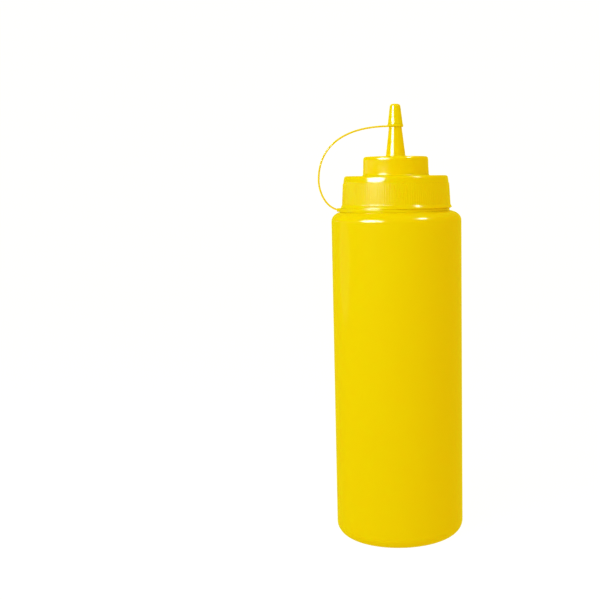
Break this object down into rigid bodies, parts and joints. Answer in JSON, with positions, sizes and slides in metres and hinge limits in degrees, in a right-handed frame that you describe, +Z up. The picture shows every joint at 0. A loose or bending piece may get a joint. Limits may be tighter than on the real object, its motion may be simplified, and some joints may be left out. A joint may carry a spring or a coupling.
{
  "type": "condiment squeeze bottle",
  "caption": "Round yellow squeeze bottle for sauce, with a stepped screw lid, a cone nozzle and a tip cap held on a bowed strap.",
  "frame": {"origin": "centre of the base, on the bottle's axis, in the plane that it stands on", "axes": "+Z up along the bottle's axis; the strap bows out towards -X, so X and Z span the plane of the strap"},
  "size_m": [0.089, 0.081, 0.2706],
  "materials": {
    "bottle_plastic": "satin blow-moulded polyethylene, opaque yellow, with a faint parting line",
    "lid_plastic": "semi-gloss injection-moulded polyethylene, opaque yellow",
    "tether_plastic": "semi-gloss flexible polyethylene, opaque yellow"
  },
  "bodies": {
    "root": {"bottle": "bottle_plastic", "lid": "lid_plastic", "tether": "tether_plastic"}
  },
  "joints": []
}
